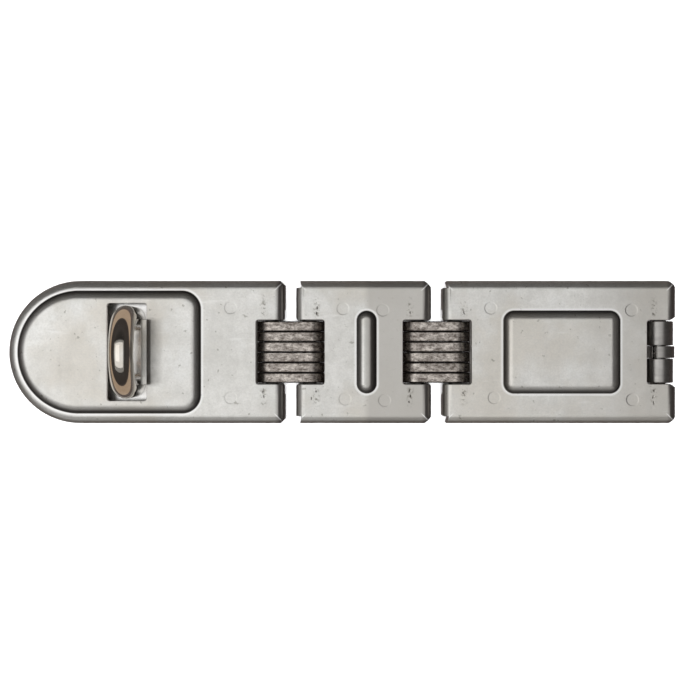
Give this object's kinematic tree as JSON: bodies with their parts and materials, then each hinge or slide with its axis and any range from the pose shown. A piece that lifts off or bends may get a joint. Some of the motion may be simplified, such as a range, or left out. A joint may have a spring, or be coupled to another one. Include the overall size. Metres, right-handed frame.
{
  "type": "hasp and staple",
  "caption": "Double-hinged hasp of folded sheet steel plates joined by packs of laminated links, with a round-bar staple for a padlock.",
  "frame": {"origin": "bottom centre of the closed hasp's bounding box, on the plane that the mounting leaf and the staple plate screw to", "axes": "+X along the hasp from its round end to its base hinge, +Y across it, +Z away from the door"},
  "size_m": [0.197, 0.042, 0.0311],
  "materials": {
    "satin_zinc": "satin zinc plate on folded sheet steel",
    "bracket_steel": "dull zinc plate on steel",
    "leaf_steel": "mottled plated steel, stamped edges",
    "pin_steel": "ground steel",
    "staple_chrome": "dark polished hardened steel"
  },
  "bodies": {
    "staple": {"staple_loop": "staple_chrome", "staple_plate": "bracket_steel"},
    "hasp": {"hasp_plate": "satin_zinc", "bracket_hasp": "bracket_steel", "pin_hasp": "pin_steel"},
    "left_links": {"leaf_left_1": "leaf_steel", "leaf_left_2": "leaf_steel", "leaf_left_3": "leaf_steel", "leaf_left_4": "leaf_steel", "leaf_left_5": "leaf_steel", "leaf_left_6": "leaf_steel"},
    "link": {"link_plate": "satin_zinc", "bracket_link_left": "bracket_steel", "bracket_link_right": "bracket_steel", "pin_link_left": "pin_steel", "pin_link_right": "pin_steel"},
    "right_links": {"leaf_right_1": "leaf_steel", "leaf_right_2": "leaf_steel", "leaf_right_3": "leaf_steel", "leaf_right_4": "leaf_steel", "leaf_right_5": "leaf_steel", "leaf_right_6": "leaf_steel"},
    "cover": {"cover_plate": "satin_zinc", "bracket_cover": "bracket_steel", "pin_cover": "pin_steel", "hinge_tongue": "bracket_steel", "hinge_pin": "pin_steel"},
    "base": {"mounting_leaf": "bracket_steel"}
  },
  "joints": [
    {"name": "hasp_lift", "type": "slide", "parent": "staple", "child": "hasp", "axis": [0, 0, 1], "range_m": [0, 0.034]},
    {"name": "hasp_pin_hinge", "type": "hinge", "parent": "hasp", "child": "left_links", "pos_m": [-0.0211, 0, 0.0045], "axis": [0, -1, 0], "range_deg": [-90, 90]},
    {"name": "link_left_pin_hinge", "type": "hinge", "parent": "left_links", "child": "link", "pos_m": [-0.0099, 0, 0.0045], "axis": [0, -1, 0], "range_deg": [-90, 90]},
    {"name": "link_right_pin_hinge", "type": "hinge", "parent": "link", "child": "right_links", "pos_m": [0.0221, 0, 0.0045], "axis": [0, 1, 0], "range_deg": [-86, 90]},
    {"name": "cover_pin_hinge", "type": "hinge", "parent": "right_links", "child": "cover", "pos_m": [0.0333, 0, 0.0045], "axis": [0, 1, 0], "range_deg": [-86, 90]},
    {"name": "base_hinge", "type": "hinge", "parent": "cover", "child": "base", "pos_m": [0.094, 0, 0.0045], "axis": [0, -1, 0], "range_deg": [0, 180]}
  ]
}
